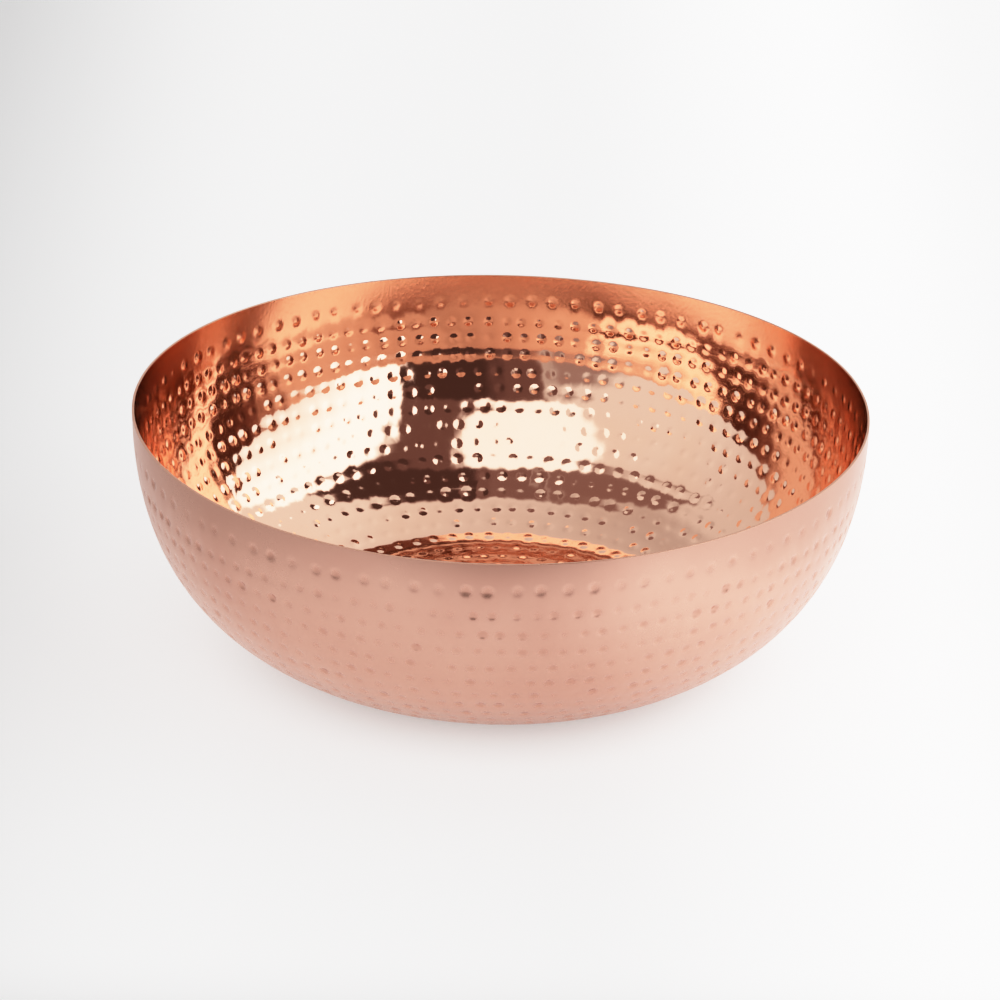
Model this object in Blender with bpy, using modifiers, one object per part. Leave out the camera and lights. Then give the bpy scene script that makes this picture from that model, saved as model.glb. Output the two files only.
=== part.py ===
"""Hammered copper bowl: one round sheet of copper, spun to shape, with a plain cut rim.

The bowl stands on its flat base, centred on the origin, with +Z up. Metres throughout.
"""

import math

import bpy

# Driving dimensions
RIM_RADIUS = 0.150
RIM_HEIGHT = 0.101
RIM_WAVE = 0.0012  # the thin rim has sprung: this much up at +X and -X, down at +Y and -Y
SHEET = 0.001
BASE_RADIUS = 0.078  # edge of the flat that the bowl stands on
BASE_BLEND_RADIUS = 0.0375
BASE_BLEND_ANGLE = math.radians(24)  # slope of the wall where the blend ends
LOW_WALL_PULL = 0.0426  # the wall's curve leaves the blend along its slope for this long
RIM_PULL = 0.0473  # and comes up to the rim upright for this long

# How finely the round shapes are cut
TURN_STEPS = 96
BLEND_STEPS = 4
WALL_STEPS = 13
AXIS_MERGE = 0.0001

COPPER_COLOUR = (0.80, 0.43, 0.31, 1.0)
COPPER_ROUGHNESS = 0.22


def clear_scene():
    for old_object in list(bpy.data.objects):
        bpy.data.objects.remove(old_object, do_unlink=True)


def make_copper():
    copper = bpy.data.materials.new("copper")
    copper.use_nodes = True
    shader = copper.node_tree.nodes["Principled BSDF"]
    shader.inputs["Base Color"].default_value = COPPER_COLOUR
    shader.inputs["Roughness"].default_value = COPPER_ROUGHNESS
    shader.inputs["Metallic"].default_value = 1.0
    return copper


def blend_point(angle):
    """Radius and height on the arc between the flat base and the wall, at this slope."""
    radius = BASE_RADIUS + BASE_BLEND_RADIUS * math.sin(angle)
    height = BASE_BLEND_RADIUS * (1 - math.cos(angle))
    return radius, height


def wall_point(along):
    """Radius and height on the wall, a cubic Bezier curve: 0 at the blend, 1 at the rim."""
    start = blend_point(BASE_BLEND_ANGLE)
    low_handle = (
        start[0] + LOW_WALL_PULL * math.cos(BASE_BLEND_ANGLE),
        start[1] + LOW_WALL_PULL * math.sin(BASE_BLEND_ANGLE),
    )
    rim_handle = (RIM_RADIUS, RIM_HEIGHT - RIM_PULL)
    rim = (RIM_RADIUS, RIM_HEIGHT)
    back = 1 - along
    return tuple(
        back**3 * a + 3 * back**2 * along * b + 3 * back * along**2 * c + along**3 * d
        for a, b, c, d in zip(start, low_handle, rim_handle, rim)
    )


def outer_profile():
    """The outer face's section, from the rim down to the axis."""
    wall = [wall_point(step / WALL_STEPS) for step in range(WALL_STEPS, 0, -1)]
    blend = [
        blend_point(BASE_BLEND_ANGLE * step / BLEND_STEPS)
        for step in range(BLEND_STEPS, -1, -1)
    ]
    return wall + blend + [(0.0, 0.0)]


def turn_profile(name, profile, collection):
    """An open round surface, made by turning the profile about Z."""
    section = bpy.data.meshes.new(name)
    points = [(radius, 0.0, height) for radius, height in profile]
    edges = [(index, index + 1) for index in range(len(points) - 1)]
    section.from_pydata(points, edges, [])
    turned = bpy.data.objects.new(name, section)
    collection.objects.link(turned)
    screw = turned.modifiers.new("turn", "SCREW")
    screw.axis = "Z"
    screw.steps = TURN_STEPS
    screw.render_steps = TURN_STEPS
    screw.use_merge_vertices = True
    screw.merge_threshold = AXIS_MERGE
    return turned


def apply_modifiers(turned):
    graph = bpy.context.evaluated_depsgraph_get()
    mesh = bpy.data.meshes.new_from_object(turned.evaluated_get(graph))
    section = turned.data
    turned.modifiers.clear()
    turned.data = mesh
    bpy.data.meshes.remove(section)


def spring_rim(mesh):
    """Bends the wall up and down round the rim, and leaves the base flat."""
    for vertex in mesh.vertices:
        turn = math.atan2(vertex.co.y, vertex.co.x)
        share = (vertex.co.z / RIM_HEIGHT) ** 2
        vertex.co.z += RIM_WAVE * math.cos(2 * turn) * share


def give_thickness(shell):
    """The surface is the outer face, so the sheet's thickness goes inwards."""
    thickness = shell.modifiers.new("sheet", "SOLIDIFY")
    thickness.thickness = SHEET
    thickness.offset = -1
    thickness.use_even_offset = True
    thickness.use_rim = True


def make_bowl_shell(collection, copper):
    shell = turn_profile("bowl_shell", outer_profile(), collection)
    apply_modifiers(shell)
    spring_rim(shell.data)
    give_thickness(shell)
    shell.data.shade_smooth()
    shell.data.materials.append(copper)
    return shell


def main():
    clear_scene()
    collection = bpy.data.collections.new("hammered_copper_bowl")
    bpy.context.scene.collection.children.link(collection)
    make_bowl_shell(collection, make_copper())


main()
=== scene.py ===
import math

import bpy
import numpy as np
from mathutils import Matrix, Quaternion, Vector


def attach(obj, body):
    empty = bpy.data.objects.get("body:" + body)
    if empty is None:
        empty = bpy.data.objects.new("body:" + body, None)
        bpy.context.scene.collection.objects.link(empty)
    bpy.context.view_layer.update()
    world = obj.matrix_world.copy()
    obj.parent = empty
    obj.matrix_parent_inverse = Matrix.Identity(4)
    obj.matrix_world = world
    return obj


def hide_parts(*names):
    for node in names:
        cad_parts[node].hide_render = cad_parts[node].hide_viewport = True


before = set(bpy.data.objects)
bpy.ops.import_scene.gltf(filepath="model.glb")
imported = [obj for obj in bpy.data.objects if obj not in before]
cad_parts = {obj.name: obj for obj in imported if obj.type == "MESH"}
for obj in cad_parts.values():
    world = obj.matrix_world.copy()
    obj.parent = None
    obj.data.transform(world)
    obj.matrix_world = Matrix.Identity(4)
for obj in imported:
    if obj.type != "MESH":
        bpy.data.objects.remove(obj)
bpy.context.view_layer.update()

print("frame loaded:", ", ".join(sorted(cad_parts)))


class Wire:
    # one output socket, which Python's own operators work on
    def __init__(self, tree, socket):
        self.tree = tree
        self.socket = socket

    def also(self, name):
        return Wire(self.tree, self.socket.node.outputs[name])

    def maths(self, operation, *others, turned=False, out=0):
        parts = [self, *others]
        if turned:
            parts.reverse()
        wires = [part for part in parts if isinstance(part, Wire)]
        isVector = any(wire.socket.type == "VECTOR" for wire in wires)
        kind = "ShaderNodeVectorMath" if isVector else "ShaderNodeMath"
        return self.tree.add(kind, {"operation": operation}, dict(enumerate(parts)), out)

    def __add__(self, other):
        return self.maths("ADD", other)

    __radd__ = __add__

    def __sub__(self, other):
        return self.maths("SUBTRACT", other)

    def __rsub__(self, other):
        return self.maths("SUBTRACT", other, turned=True)

    def __mul__(self, other):
        return self.maths("MULTIPLY", other)

    __rmul__ = __mul__

    def __truediv__(self, other):
        return self.maths("DIVIDE", other)

    def __rtruediv__(self, other):
        return self.maths("DIVIDE", other, turned=True)

    def __pow__(self, other):
        return self.maths("POWER", other)

    def __neg__(self):
        return self * -1

    def dot(self, other):
        return self.maths("DOT_PRODUCT", other, out="Value")

    def length(self):
        return self.maths("LENGTH", out="Value")

    def unit(self):
        return self.maths("NORMALIZE")

    def between(self, low, high):
        # 0 below low, 1 above high, smooth from one to the other
        settings = {"interpolation_type": "SMOOTHSTEP"}
        sockets = {"Value": self, "From Min": low, "From Max": high}
        return self.tree.add("ShaderNodeMapRange", settings, sockets)


class Tree:
    # a shader or geometry tree, with one way to add any node
    def __init__(self, tree):
        self.tree = tree

    def add(self, kind, settings=None, sockets=None, out=0):
        made = self.tree.nodes.new(kind)
        for name, value in (settings or {}).items():
            setattr(made, name, value)
        for name, value in (sockets or {}).items():
            for part in value if isinstance(value, list) else [value]:
                self.feed(made.inputs[name], part)
        return Wire(self, made.outputs[out]) if made.outputs else None

    def feed(self, socket, value):
        if isinstance(value, Wire):
            self.tree.links.new(value.socket, socket)
        elif socket.type == "VECTOR" and isinstance(value, (int, float)):
            socket.default_value = (value,) * 3
        else:
            socket.default_value = value

    def combine(self, x=0, y=0, z=0):
        return self.add("ShaderNodeCombineXYZ", None, {"X": x, "Y": y, "Z": z})

    def split(self, vector):
        whole = self.add("ShaderNodeSeparateXYZ", None, {"Vector": vector})
        return whole, whole.also("Y"), whole.also("Z")

    def noise(self, vector, scale, detail=2.0, roughness=0.5):
        sockets = {"Vector": vector, "Scale": scale, "Detail": detail, "Roughness": roughness}
        return self.add("ShaderNodeTexNoise", None, sockets)

    def mixColour(self, share, *colours):
        first, second = [each if isinstance(each, Wire) else (*each, 1) for each in colours]
        # sockets 6 and 7, and 2 on the way out, are the node's colours
        sockets = {"Factor": share, 6: first, 7: second}
        return self.add("ShaderNodeMix", {"data_type": "RGBA"}, sockets, 2)


# The bowl's outer face is one curve turned about Z: a flat base, a blend, and the wall.
bowlShape = {
    "rimRadius": 0.150,
    "rimHeight": 0.101,
    "rimWave": 0.0012,  # the rim is sprung up by this at the sides, down at front and back
    "sheet": 0.001,
    "baseRadius": 0.078,
    "baseBlendRadius": 0.0375,
    "baseBlendAngle": math.radians(24),
    "lowWallPull": 0.0426,
    "rimPull": 0.0473,
    "rimRound": 0.00022,  # the small round on each side of the cut edge
    "rimSteps": 360,
    "profileSteps": 240,  # in each of the base, the blend and the wall
}


def blendPoint(angle):
    radius = bowlShape["baseRadius"] + bowlShape["baseBlendRadius"] * math.sin(angle)
    height = bowlShape["baseBlendRadius"] * (1 - math.cos(angle))
    return radius, height


def wallPoint(along):
    slope = bowlShape["baseBlendAngle"]
    pull = bowlShape["lowWallPull"]
    start = blendPoint(slope)
    lowHandle = (start[0] + pull * math.cos(slope), start[1] + pull * math.sin(slope))
    rim = (bowlShape["rimRadius"], bowlShape["rimHeight"])
    rimHandle = (rim[0], rim[1] - bowlShape["rimPull"])
    back = 1 - along
    return tuple(
        back**3 * a + 3 * back**2 * along * b + 3 * back * along**2 * c + along**3 * d
        for a, b, c, d in zip(start, lowHandle, rimHandle, rim)
    )


def profilePoints():
    # from the axis out and up to the rim, where the rounded cut edge begins
    steps = bowlShape["profileSteps"]
    floor = [(bowlShape["baseRadius"] * step / steps, 0) for step in range(steps)]
    blend = [blendPoint(bowlShape["baseBlendAngle"] * step / steps) for step in range(steps)]
    wall = [wallPoint(step / steps) for step in range(steps)]
    rim = (bowlShape["rimRadius"], bowlShape["rimHeight"] - bowlShape["rimRound"])
    return floor + blend + wall + [rim]


# Marks of a round-nosed punch, driven in from outside, in rings that follow the rim.
hammering = {
    "Rim gap": 0.0118,  # rim to the middle of the first ring, along the wall
    "First gap": 0.0022,  # the second ring stands off by this much more
    "Row pitch": 0.0083,
    "Top pitch": 0.0100,  # along the first ring
    "Mark pitch": 0.0079,
    "Mark radius": 0.0037,
    "Mark depth": 0.00027,
    "Outside depth": 1.7,  # the dents outside against the bumps inside
    "Row drift": 0.10,  # the rings stand closer at the back than at the front
    "Ring ridge": 0.00002,  # each ring of marks also raises the sheet along it
    "Swell": 0.00022,  # slow waves that the hammer leaves in the sheet
    "Swell size": 50.0,
    "Seed": 7,
}

# How uneven the hand's work is.
handWork = {
    "turn": 0.11,  # a mark off its place in the ring, against the pitch
    "scatter": 0.0002,  # and off the ring's line
    "wander": 0.0018,  # the ring's own line, which strays slowly
    "strayRound": 3,  # how fast it strays along the ring
    "strayAcross": 900,  # and from ring to ring
    "forceChange": 3,  # how much faster than that the force changes
    "force": (0.55, 1.25),  # lightest and heaviest stretches of a ring
    "depth": (0.5, 1.5),  # each mark, against the force there
    "radius": (0.82, 1.08),
    "floorRidge": 1.8,  # the ridges are higher by this share on the floor of the bowl
    "floorEdge": (0.065, 0.09),  # which ends between these radii
}

# How the mesh is cut: a round patch for each mark, and the sheet filled in between them.
finelyCut = {"sides": 10, "rings": 3, "spread": 0}  # a patch on the mirror inside
plainlyCut = {"sides": 10, "rings": 2, "spread": 0.2}  # on the satin outside, rings moved out
patchShare = 0.36  # a patch's radius against the pitch of the marks
mergeDistance = 5e-6  # closes the joins of patches, sheet and cut edge
slopeStep = 0.0005  # how far apart the swell is read for its slope
nearby = 0.001  # nearer than this to the rim or the middle, the sheet is plain
tiny = 1e-6  # keeps a division off zero


def hammeredTree(inside, outside, cutEdge):
    group = bpy.data.node_groups.new("hammered sheet", "GeometryNodeTree")
    interface = group.interface
    interface.new_socket("Profile", in_out="INPUT", socket_type="NodeSocketGeometry")
    for name, value in hammering.items():
        isWhole = isinstance(value, int)
        kind = "NodeSocketInt" if isWhole else "NodeSocketFloat"
        interface.new_socket(name, in_out="INPUT", socket_type=kind)
    for name in ("Sheet", "Rim height", "Rim wave", "Rim round"):
        interface.new_socket(name, in_out="INPUT", socket_type="NodeSocketFloat")
    interface.new_socket("Rim steps", in_out="INPUT", socket_type="NodeSocketInt")
    interface.new_socket("Bowl", in_out="OUTPUT", socket_type="NodeSocketGeometry")
    tree = Tree(group)
    start = tree.add("NodeGroupInput")
    given = start.also

    def store(geometry, name, value, kind="FLOAT", selection=True, domain="POINT"):
        settings = {"data_type": kind, "domain": domain}
        sockets = {"Geometry": geometry, "Selection": selection, "Name": name, "Value": value}
        return tree.add("GeometryNodeStoreNamedAttribute", settings, sockets)

    def named(name, kind="FLOAT"):
        return tree.add("GeometryNodeInputNamedAttribute", {"data_type": kind}, {"Name": name})

    def random(low, high, draw):
        # sockets 2 and 3, and 1 on the way out, are the node's plain numbers
        sockets = {2: low, 3: high, "Seed": given("Seed") + draw}
        return tree.add("FunctionNodeRandomValue", {"data_type": "FLOAT"}, sockets, 1)

    def setPosition(geometry, position):
        sockets = {"Geometry": geometry, "Position": position}
        return tree.add("GeometryNodeSetPosition", None, sockets)

    def merge(geometry):
        sockets = {"Geometry": geometry, "Distance": mergeDistance}
        return tree.add("GeometryNodeMergeByDistance", None, sockets)

    curve = tree.add("GeometryNodeMeshToCurve", None, {"Mesh": given("Profile")})
    reach = tree.add("GeometryNodeCurveLength", None, {"Curve": curve})
    position = tree.add("GeometryNodeInputPosition")
    index = tree.add("GeometryNodeInputIndex")

    def onProfile(length):
        sockets = {"Curves": curve, "Length": length}
        place = tree.add("GeometryNodeSampleCurve", {"mode": "LENGTH"}, sockets, "Position")
        radius, _, height = tree.split(place)
        out, _, up = tree.split(place.also("Tangent"))
        return radius, height, out, up

    # The sheet is first laid out flat, as far from its middle as it is along the section.
    inner = reach - given("Rim gap") - given("First gap")
    rows = (inner / given("Row pitch")).maths("ROUND")
    depth = index / rows * inner + given("First gap") * index.maths("MINIMUM", 1)
    fromMiddle = reach - given("Rim gap") - depth
    around = onProfile(fromMiddle)[0] * math.tau
    isTop = 1 - index.maths("MINIMUM", 1)
    pitch = given("Mark pitch") + (given("Top pitch") - given("Mark pitch")) * isTop
    count = (around / pitch).maths("ROUND").maths("MAXIMUM", 1)
    line = tree.add("GeometryNodeMeshLine", None, {"Count": rows + 1})
    line = store(line, "fromMiddle", fromMiddle)
    line = store(line, "depth", depth)
    line = store(line, "count", count)
    line = store(line, "phase", random(0, 1, 1))
    line = store(line, "patch", pitch * patchShare)
    settings = {"domain": "POINT"}
    marks = tree.add(
        "GeometryNodeDuplicateElements", settings, {"Geometry": line, "Amount": count}
    )
    offPlace, offLine = handWork["turn"], handWork["scatter"]
    turn = marks.also("Duplicate Index") + named("phase") + random(-offPlace, offPlace, 2)
    angle = turn / named("count") * math.tau
    drift = given("Row drift") * named("depth") * named("fromMiddle") / reach
    across, up = angle.maths("COSINE"), angle.maths("SINE")
    stray = handWork["strayRound"]
    rowHeight = named("fromMiddle") * handWork["strayAcross"]
    rowPlace = tree.combine(across * stray, up * stray, rowHeight)
    wander = (tree.noise(rowPlace, 1.0, 0.0) - 0.5) * handWork["wander"]
    wander = wander + random(-offLine, offLine, 3)
    isMiddle = named("fromMiddle").maths("LESS_THAN", nearby)
    along = named("fromMiddle") + drift * up + wander * (1 - isMiddle)
    marks = store(marks, "angle", angle)
    marks = store(marks, "along", along)
    heavy = tree.noise(rowPlace * handWork["forceChange"], 1.0, 1.0).between(0.3, 0.7)
    lightest, heaviest = handWork["force"]
    force = heavy * (heaviest - lightest) + lightest
    markDepth = given("Mark depth") * force * random(*handWork["depth"], 4)
    marks = store(marks, "markDepth", markDepth)
    marks = store(marks, "markRadius", given("Mark radius") * random(*handWork["radius"], 5))
    marks = setPosition(marks, tree.combine(along * across, along * up))
    length = named("along").maths("MAXIMUM", tiny)
    stretch = length / onProfile(length)[0].maths("MAXIMUM", tiny)
    size = tree.combine(named("patch") * stretch, named("patch"), 1)
    rotation = tree.combine(0, 0, named("angle") - math.pi / 2)

    def onMarks(shape):
        sockets = {"Points": marks, "Instance": shape, "Rotation": rotation, "Scale": size}
        copies = tree.add("GeometryNodeInstanceOnPoints", None, sockets)
        return tree.add("GeometryNodeRealizeInstances", None, {"Geometry": copies})

    def swell(point):
        return tree.noise(point, given("Swell size"), 1.0) * given("Swell")

    def hammeredFace(sides, rings, spread, force):
        # one mark is a round patch; its place in the mark gives the dome's height and slope
        settings = {"fill_type": "NONE"}
        sockets = {"Vertices": sides, "Side Segments": rings, "Radius Top": 0}
        sockets.update({"Radius Bottom": 1, "Depth": 0})
        disc = tree.add("GeometryNodeMeshCone", settings, sockets)
        if spread:
            disc = setPosition(disc, position * (1 + spread - spread * position.length()))
        disc = store(disc, "inPatch", position, "FLOAT_VECTOR")
        patches = onMarks(disc)
        inMark = named("inPatch", "FLOAT_VECTOR") * (named("patch") / named("markRadius"))
        rest = (1 - inMark.dot(inMark)).maths("MAXIMUM", 0)
        depth = named("markDepth") * force
        power = 4  # a higher one makes a more pointed dome, and its slope follows
        steep = rest ** (power - 1) * (depth / named("markRadius")) * (-2 * power)
        patches = store(patches, "dent", rest**power * depth)
        patches = store(patches, "tilt", inMark * steep, "FLOAT_VECTOR")

        # the sheet between the patches, which takes their height and slope at their borders
        hole = tree.add("GeometryNodeMeshCircle", None, {"Vertices": sides, "Radius": 1})
        sockets = {"Vertices": given("Rim steps"), "Radius": reach}
        border = tree.add("GeometryNodeMeshCircle", None, sockets)
        loops = {"Geometry": [onMarks(hole), border]}
        outline = tree.add("GeometryNodeJoinGeometry", None, loops)
        outline = tree.add("GeometryNodeMeshToCurve", None, {"Mesh": outline})
        between = tree.add("GeometryNodeFillCurve", {"mode": "TRIANGLES"}, {"Curve": outline})
        nearest = tree.add("GeometryNodeSampleNearest", None, {"Geometry": patches})
        inside = position.length().maths("LESS_THAN", reach - nearby)
        for name, kind in (("dent", "FLOAT"), ("tilt", "FLOAT_VECTOR")):
            sockets = {"Geometry": patches, "Value": named(name, kind), "Index": nearest}
            found = tree.add("GeometryNodeSampleIndex", {"data_type": kind}, sockets)
            between = store(between, name, found * inside, kind)
        pieces = {"Geometry": [patches, between]}
        sheet = tree.add("GeometryNodeJoinGeometry", None, pieces)
        sheet = merge(sheet)

        # Now it is raised: each point goes to its place on the section, turned about Z.
        length = position.length()
        u = position / length.maths("MAXIMUM", tiny)
        radius, height, out, up = onProfile(length)
        ux, uy, _ = tree.split(u)
        spring = (ux * ux - uy * uy) * (height / given("Rim height")) ** 2
        spring = spring * given("Rim wave")
        ground = u * radius + tree.combine(0, 0, height + spring)
        towardRim = u * out + tree.combine(0, 0, up)
        sideways = tree.combine(-uy, ux, 0)
        facing = tree.combine(0, 0, out) - u * up  # into the bowl
        fromRim = reach - given("Rim gap") - length
        ringed = length - given("Row drift") * fromRim * length / reach * uy
        waves = rows * math.tau / inner
        phase = (inner - ringed) * waves
        fade = 1 - ringed.between(inner + nearby, reach - given("Rim gap"))
        onFloor = 1 - ringed.between(*handWork["floorEdge"])
        ridge = given("Ring ridge") * fade * (1 + handWork["floorRidge"] * onFloor)
        here = swell(ground)
        steps = ((slopeStep, 0, 0), (0, slopeStep, 0), (0, 0, slopeStep))
        rise = tree.combine(*[(swell(ground + step) - here) / slopeStep for step in steps])
        tiltX, tiltY, _ = tree.split(named("tilt", "FLOAT_VECTOR"))
        tiltY = tiltY + ridge * phase.maths("SINE") * waves
        rise = rise - facing * rise.dot(facing) + towardRim * tiltY - sideways * tiltX
        sheet = store(sheet, "facing", (facing - rise).unit(), "FLOAT_VECTOR")
        here = here + ridge * phase.maths("COSINE")
        lifted = ground + facing * (here + named("dent"))
        return store(sheet, "ground", lifted, "FLOAT_VECTOR")

    ground = named("ground", "FLOAT_VECTOR")
    facing = named("facing", "FLOAT_VECTOR")

    def paint(geometry, material, selection=True):
        sockets = {"Geometry": geometry, "Selection": selection, "Material": material}
        return tree.add("GeometryNodeSetMaterial", None, sockets)

    outward = given("Outside depth")
    innerFace = setPosition(hammeredFace(**finelyCut, force=1), ground + facing * given("Sheet"))
    outerFace = setPosition(hammeredFace(**plainlyCut, force=outward), ground)
    outerFace = tree.add("GeometryNodeFlipFaces", None, {"Mesh": outerFace})
    outerFace = store(outerFace, "facing", -facing, "FLOAT_VECTOR")

    # the cut edge: a small round on each side of it, drawn on from the outer face's border
    shell = store(outerFace, "finish", 1.0, domain="FACE")
    border = tree.add("GeometryNodeInputMeshEdgeNeighbors").maths("LESS_THAN", 1.5)
    shell = store(shell, "inward", -facing, "FLOAT_VECTOR")
    inward = named("inward", "FLOAT_VECTOR")
    corner = given("Rim round")
    wasIn, wasUp = 0, 0
    outerTurns = [(degrees, False) for degrees in (30, 60, 90)]
    innerTurns = [(degrees, True) for degrees in (90, 120, 150, 180)]
    for degrees, isInner in outerTurns + innerTurns:
        turn = math.radians(degrees)
        nowIn = corner * (1 - math.cos(turn))
        if isInner:
            nowIn = given("Sheet") - corner * (1 + math.cos(turn))
        nowUp = corner * math.sin(turn)
        offset = inward * (nowIn - wasIn) + tree.combine(0, 0, nowUp - wasUp)
        sockets = {"Mesh": shell, "Selection": border, "Offset": offset, "Offset Scale": 1}
        shell = tree.add("GeometryNodeExtrudeMesh", {"mode": "EDGES"}, sockets)
        border, side = shell.also("Top"), shell.also("Side")
        edgeFacing = tree.combine(0, 0, math.sin(turn)) - inward * math.cos(turn)
        shell = store(shell, "facing", edgeFacing, "FLOAT_VECTOR", border)
        shell = store(shell, "finish", 2.0, selection=side, domain="FACE")
        wasIn, wasUp = nowIn, nowUp

    bowl = tree.add("GeometryNodeJoinGeometry", None, {"Geometry": [innerFace, shell]})
    bowl = merge(bowl)
    bowl = tree.add("GeometryNodeRealizeInstances", None, {"Geometry": bowl})
    bowl = paint(bowl, inside)
    bowl = paint(bowl, outside, named("finish").maths("GREATER_THAN", 0.5))
    bowl = paint(bowl, cutEdge, named("finish").maths("GREATER_THAN", 1.5))
    tree.add("NodeGroupOutput", None, {"Bowl": bowl})
    return group


def makeShell(group):
    points = [(radius, 0, height) for radius, height in profilePoints()]
    edges = [(step, step + 1) for step in range(len(points) - 1)]
    profile = bpy.data.meshes.new("bowl profile")
    profile.from_pydata(points, edges, [])
    shell = bpy.data.objects.new("hammered_shell", profile)
    bpy.context.scene.collection.objects.link(shell)
    modifier = shell.modifiers.new("hammered sheet", "NODES")
    modifier.node_group = group
    sizes = dict(hammering)
    sizes["Sheet"] = bowlShape["sheet"]
    sizes["Rim height"] = bowlShape["rimHeight"]
    sizes["Rim wave"] = bowlShape["rimWave"]
    sizes["Rim round"] = bowlShape["rimRound"]
    sizes["Rim steps"] = bowlShape["rimSteps"]
    for item in group.interface.items_tree:
        if item.in_out == "INPUT" and item.name in sizes:
            modifier[item.identifier] = sizes[item.name]
    graph = bpy.context.evaluated_depsgraph_get()
    mesh = bpy.data.meshes.new_from_object(shell.evaluated_get(graph))
    shell.modifiers.clear()
    shell.data = mesh
    bpy.data.meshes.remove(profile)
    while mesh.materials[0] is None:
        mesh.materials.pop(index=0)  # the profile's own slot, which is empty
    return shell


def setNormals(mesh):
    # the true slope of the sheet at each point, which its flat triangles only come near
    facing = np.empty(len(mesh.vertices) * 3, np.float32)
    mesh.attributes["facing"].data.foreach_get("vector", facing)
    mesh.shade_smooth()
    mesh.normals_split_custom_set_from_vertices(facing.reshape(-1, 3))
    for name in [item.name for item in mesh.attributes if not item.is_internal]:
        if name not in ("position", "material_index", "sharp_face", "custom_normal", "dent"):
            mesh.attributes.remove(mesh.attributes[name])


# Finishes: copper polished inside, brushed satin outside, and cut at the rim.
copperFinish = {
    "polished": (0.95, 0.62, 0.485),
    "polishedWorn": (0.94, 0.60, 0.46),
    "polishedRoughness": 0.075,
    "bumpRoughness": 0.08,  # what a mark adds to it, where the polish is thin
    "brushedRoughness": 0.15,  # the plain band under the rim, inside
    "bandHeight": (0.082, 0.092),
    "streakScale": 150.0,
    "streakLength": 4,
    "streakDepth": 0.0002,
    "polishCloudScale": 30.0,
    "satin": (0.71, 0.445, 0.365),
    "satinWorn": (0.68, 0.415, 0.34),
    "satinDentShade": (0.58, 0.33, 0.265),  # painted shade: the bottoms of the dents are darker
    "satinRoughness": 0.30,
    "dentRoughness": 0.17,
    "dentShadeShare": 0.6,  # how much of the painted shade the deepest dent takes
    "satinCloudScale": 22.0,
    "grainScale": 200.0,
    "grainLength": 5,
    "cut": (0.80, 0.50, 0.39),
    "cutWorn": (0.70, 0.42, 0.32),
    "cutRoughness": 0.3,
    "filedScale": 260.0,
}


def newMaterial(name):
    material = bpy.data.materials.new(name)
    material.use_nodes = True
    material.node_tree.nodes.clear()
    return material, Tree(material.node_tree)


def finishMaterial(tree, sockets):
    fixed = {"Metallic": 1.0}
    fixed.update(sockets)
    shader = tree.add("ShaderNodeBsdfPrincipled", None, fixed)
    tree.add("ShaderNodeOutputMaterial", None, {"Surface": shader})


def placeOnBowl(tree, stretch=0):
    # the point, its height, and a place for streaks, which change up the wall by the stretch
    place = tree.add("ShaderNodeTexCoord").also("Object")
    x, y, height = tree.split(place)
    around = tree.combine(x, y, 0).unit()
    return place, height, around + tree.combine(0, 0, height * stretch)


def dentShare(tree):
    # 0 on the plain sheet, 1 at the bottom of a deep mark
    depth = tree.add("ShaderNodeAttribute", {"attribute_name": "dent"}, None, "Fac")
    return depth.between(0, hammering["Mark depth"] * hammering["Outside depth"])


def polishedInside():
    material, tree = newMaterial("polished_inside")
    place, height, along = placeOnBowl(tree, copperFinish["streakLength"])
    streak = tree.noise(along, copperFinish["streakScale"], 3.0, 0.6)
    band = height.between(*copperFinish["bandHeight"])
    cloud = tree.noise(place, copperFinish["polishCloudScale"], 3.0)
    polish = copperFinish["polishedRoughness"] * (0.6 + 0.8 * cloud)
    brushed = copperFinish["brushedRoughness"] * (0.5 + streak)
    roughness = polish * (1 - band) + brushed * band
    roughness = roughness + copperFinish["bumpRoughness"] * dentShare(tree)
    worn = cloud.between(0.35, 0.75)
    colour = tree.mixColour(worn, copperFinish["polished"], copperFinish["polishedWorn"])
    sockets = {"Height": streak * band, "Strength": 0.2}
    sockets["Distance"] = copperFinish["streakDepth"]
    bump = tree.add("ShaderNodeBump", None, sockets)
    finishMaterial(tree, {"Base Color": colour, "Roughness": roughness, "Normal": bump})
    return material


def satinOutside():
    material, tree = newMaterial("satin_outside")
    place, _, along = placeOnBowl(tree, copperFinish["grainLength"])
    cloud = tree.noise(place, copperFinish["satinCloudScale"], 4.0)
    grain = tree.noise(along, copperFinish["grainScale"], 3.0, 0.6)
    roughness = copperFinish["satinRoughness"] + (cloud - 0.5) * 0.1 + (grain - 0.5) * 0.08
    struck = dentShare(tree)
    roughness = roughness * (1 - struck) + copperFinish["dentRoughness"] * struck
    worn = cloud.between(0.35, 0.7)
    colour = tree.mixColour(worn, copperFinish["satin"], copperFinish["satinWorn"])
    # painted shade: the dents are darker in colour; their lower roughness, above, is the sheet's
    # own
    paintedDentShade = struck * copperFinish["dentShadeShare"]
    colour = tree.mixColour(paintedDentShade, colour, copperFinish["satinDentShade"])
    finishMaterial(tree, {"Base Color": colour, "Roughness": roughness})
    return material


def cutEdgeMetal():
    material, tree = newMaterial("cut_edge")
    around = placeOnBowl(tree)[2]
    filed = tree.noise(around, copperFinish["filedScale"])
    colour = tree.mixColour(filed, copperFinish["cut"], copperFinish["cutWorn"])
    roughness = copperFinish["cutRoughness"] * (0.7 + 0.6 * filed)
    finishMaterial(tree, {"Base Color": colour, "Roughness": roughness})
    return material


group = hammeredTree(polishedInside(), satinOutside(), cutEdgeMetal())
shell = makeShell(group)
setNormals(shell.data)
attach(shell, "root")
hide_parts("bowl_shell")
print("bowl raised:", len(shell.data.polygons), "faces")


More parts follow.
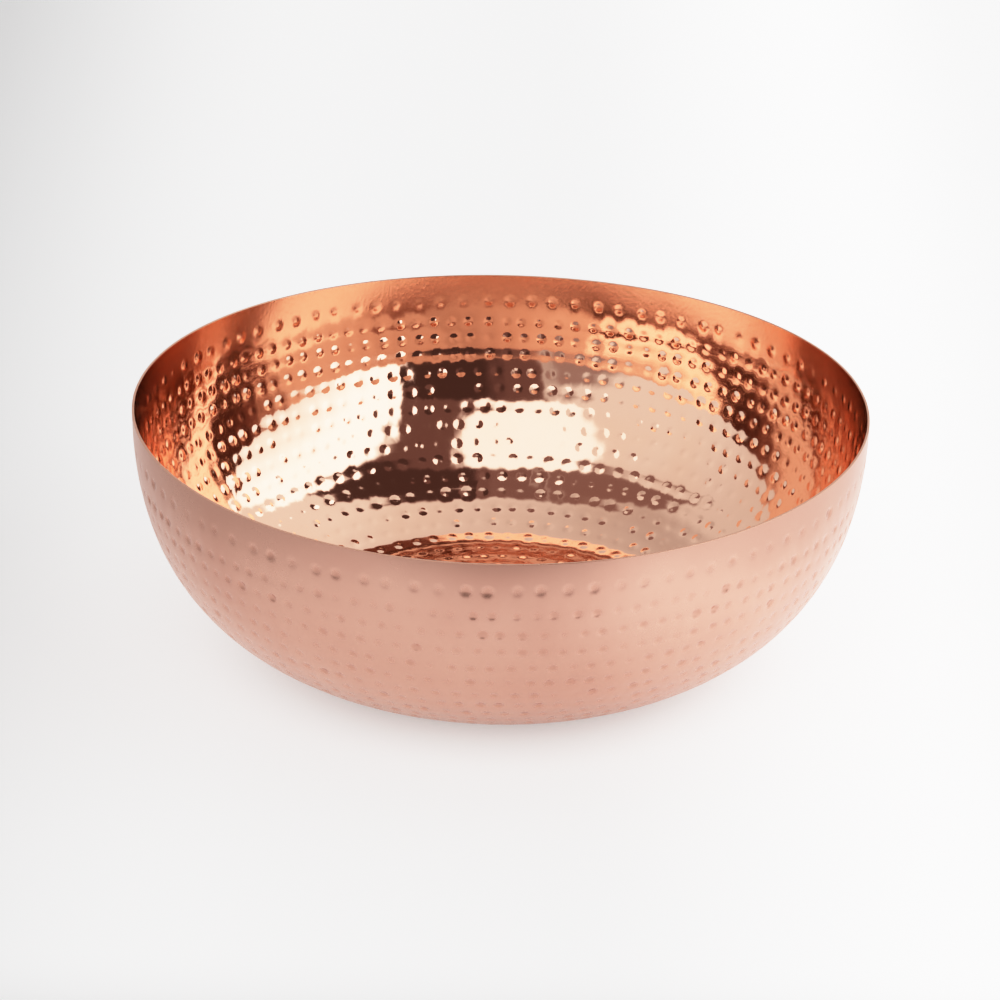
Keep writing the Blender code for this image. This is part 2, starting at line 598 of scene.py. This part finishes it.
# The room that the bowl mirrors. Places are in degrees from straight overhead, x to the
# right and y toward the camera; values are how bright each part looks.
room = {
    "leftWall": (0.90, 1.12),  # far end, near end
    "rightWall": (2.30, 1.60),  # near the middle, out to the right
    "farWall": 0.92,
    "farBrighter": 0.008,  # for each degree to the right
    "farCorner": 1.20,
    "ceiling": (0.38, 0.34, 0.15),  # left, middle, right
    "column": 0.27,
    "shade": (0.27, 0.14),  # below the window, below the column
    "leftLow": 0.5,
    "rightLow": 1.0,
    "window": 1.85,
    "windowMiddle": (-9, 38),
    "windowHalf": (22, 19.6),
    "darkTint": (1.0, 0.68, 0.65),
    "lightTint": (1.0, 1.0, 1.0),
}

# From and to, in x and then in y.
roomPlaces = {
    "farWall": (-34, 26, -120, -5),
    "columnFoot": 60,  # in y
    "shade": (-19, 57, 95),  # it ends on the right where the column does
    "lowShade": (-16, 60, 76, 100),
    "leftLow": (-70, -20, 62, 100),
    "rightLow": (30, 120, -110, 20),
}


def makeRoom():
    world = bpy.data.worlds.new("studio")
    bpy.context.scene.world = world
    world.use_nodes = True
    world.node_tree.nodes.clear()
    tree = Tree(world.node_tree)
    direction = tree.add("ShaderNodeTexCoord", None, None, "Generated").unit()
    dx, dy, dz = tree.split(direction)
    polar = dz.maths("ARCCOSINE") * (180 / math.pi)
    level = tree.combine(dx, dy, 0).length().maths("MAXIMUM", 1e-5)
    x = polar * dx / level
    y = polar * dy / level * -1

    def patch(x0, x1, y0, y1, soft=2):
        across = x.between(x0 - soft, x0 + soft) * (1 - x.between(x1 - soft, x1 + soft))
        down = y.between(y0 - soft, y0 + soft) * (1 - y.between(y1 - soft, y1 + soft))
        return across * down

    def over(light, mask, value):
        return light * (1 - mask) + value * mask

    def slope(ends, share):
        return ends[0] + (ends[1] - ends[0]) * share

    columnEdge = 31 + 0.32 * (y - 29).maths("ABSOLUTE")
    ceilingEdge = 0.5 - 0.29 * x.maths("ABSOLUTE")
    light = slope(room["leftWall"], y.between(-35, 35))
    light = over(light, x.between(-5, 30), room["farCorner"])
    onRight = (x + 0.56 * y.maths("MINIMUM", 0)).between(34, 38)
    light = over(light, onRight, slope(room["rightWall"], x.between(50, 76)))
    farLight = room["farWall"] + room["farBrighter"] * x
    light = over(light, patch(*roomPlaces["farWall"], 8), farLight)
    left, middle, right = room["ceiling"]
    light = over(light, patch(0.65 * y - 38.75, -10, ceilingEdge, 18), left)
    light = over(light, patch(-10, 5, ceilingEdge, 17), middle)
    light = over(light, patch(4, columnEdge, ceilingEdge, 19), right)
    light = over(light, patch(11, columnEdge, 16, roomPlaces["columnFoot"]), room["column"])
    shade = slope(room["shade"], x.between(-4, 10))
    shadeLeft, shadeTop, shadeFoot = roomPlaces["shade"]
    light = over(light, patch(shadeLeft, columnEdge, shadeTop, shadeFoot), shade)
    light = over(light, patch(*roomPlaces["lowShade"]), shade)
    light = over(light, patch(*roomPlaces["leftLow"], 6), room["leftLow"])
    onRightLow = patch(*roomPlaces["rightLow"], 8) * polar.between(72, 82)
    light = over(light, onRightLow, room["rightLow"])
    fromWindow = (
        (place - middle) / half
        for place, middle, half in zip((x, y), room["windowMiddle"], room["windowHalf"])
    )
    roundness = sum(share**4 for share in fromWindow)
    light = over(light, 1 - roundness.between(0.7, 1.3), room["window"])
    tint = tree.mixColour(light.between(0.2, 0.75), room["darkTint"], room["lightTint"])
    sky = tree.add("ShaderNodeBackground", None, {"Color": tint, "Strength": light})
    tree.add("ShaderNodeOutputWorld", None, {"Surface": sky})


# The floor glows with painted light, brighter to the right as if lit from there, with painted
# shade towards the camera and a painted shadow under the bowl; this is how brightly it glows
# around the bowl.
floorPaintedLight = {
    "colour": (0.50, 0.50, 0.50),
    "reach": 8,
    "left": 0.22,
    "middle": 0.76,
    "right": 1.18,
    "farRight": 0.90,
    "nearCamera": 0.0,
    "toMiddle": (-0.36, -0.10),  # where it turns from left to middle, in x
    "toRight": (0.02, 0.20),
    "toFarRight": (0.17, 0.28),
    "fromCamera": (-0.40, -0.27),  # where it starts, in y
    "fromBowl": (0.02, 0.13),  # painted shadow under the bowl
}


def makeFloor():
    reach = floorPaintedLight["reach"]
    mesh = bpy.data.meshes.new("floor")
    corners = [(-reach, -reach, 0), (reach, -reach, 0), (reach, reach, 0), (-reach, reach, 0)]
    mesh.from_pydata(corners, [], [(0, 1, 2, 3)])
    floor = bpy.data.objects.new("floor", mesh)
    bpy.context.scene.collection.objects.link(floor)
    material, tree = newMaterial("floor_painted_light")
    x, y, _ = tree.split(tree.add("ShaderNodeTexCoord").also("Object"))
    left, middle, right = floorPaintedLight["left"], floorPaintedLight["middle"], floorPaintedLight["right"]
    # painted light: brighter from left to right, as if a lamp stood on the right
    paintedLight = left + (middle - left) * x.between(*floorPaintedLight["toMiddle"])
    paintedLight = paintedLight + (right - middle) * x.between(*floorPaintedLight["toRight"])
    paintedLight = paintedLight + (floorPaintedLight["farRight"] - right) * x.between(*floorPaintedLight["toFarRight"])
    # painted shade: the glow fades out towards the camera
    cameraSideShade = floorPaintedLight["nearCamera"]
    paintedLight = paintedLight * (cameraSideShade + (1 - cameraSideShade) * y.between(*floorPaintedLight["fromCamera"]))
    # painted shadow: the glow fades out under and around the bowl
    fromBowl = tree.combine(x, y, 0).length()
    paintedLight = paintedLight * fromBowl.between(*floorPaintedLight["fromBowl"])
    sockets = {"Base Color": (*floorPaintedLight["colour"], 1), "Roughness": 0.9, "Metallic": 0.0}
    # the floor glows with this painted light, though it is no lamp
    sockets["Emission Color"] = tree.combine(paintedLight, paintedLight, paintedLight)
    sockets["Emission Strength"] = 1.0
    finishMaterial(tree, sockets)
    mesh.materials.append(material)


makeRoom()
makeFloor()
print("room lit")

cameraView = {
    "target": (0.00036, 0, 0.05898),
    "distance": 1.8,
    "elevation": math.radians(24.265),
    "roll": math.radians(1.134),
    "lens": 157.56,
    "sensor": 36,
}


def makeCamera():
    camera = bpy.data.objects.new("camera", bpy.data.cameras.new("camera"))
    bpy.context.scene.collection.objects.link(camera)
    back = Vector((0, -math.cos(cameraView["elevation"]), math.sin(cameraView["elevation"])))
    camera.location = Vector(cameraView["target"]) + back * cameraView["distance"]
    camera.rotation_mode = "QUATERNION"
    roll = Quaternion((0, 0, 1), cameraView["roll"])
    camera.rotation_quaternion = (-back).to_track_quat("-Z", "Y") @ roll
    camera.data.lens = cameraView["lens"]
    camera.data.sensor_width = cameraView["sensor"]
    camera.data.clip_start = 0.05
    bpy.context.scene.camera = camera


# A camera's response: more contrast in the shades, and a soft shoulder at the top.
pictureTone = {
    "contrast": 1.4,
    "shoulder": 3.0,  # how sharply the brightest parts level off
    "brightest": 4.0,
    "steps": 16,
}


def setTone():
    view = bpy.context.scene.view_settings
    view.view_transform = "Standard"
    view.use_curve_mapping = True
    mapping = view.curve_mapping
    mapping.white_level = (pictureTone["brightest"],) * 3
    points = mapping.curves[3].points  # the curve for all three colours
    steps, shoulder = pictureTone["steps"], pictureTone["shoulder"]
    for step in range(steps + 1):
        share = (step / steps) ** 2
        light = (share * pictureTone["brightest"]) ** pictureTone["contrast"]
        tone = light / (1 + light**shoulder) ** (1 / shoulder)
        if step in (0, steps):
            points[-1 if step else 0].location = (share, tone)
        else:
            points.new(share, tone)
    mapping.update()


makeCamera()
setTone()
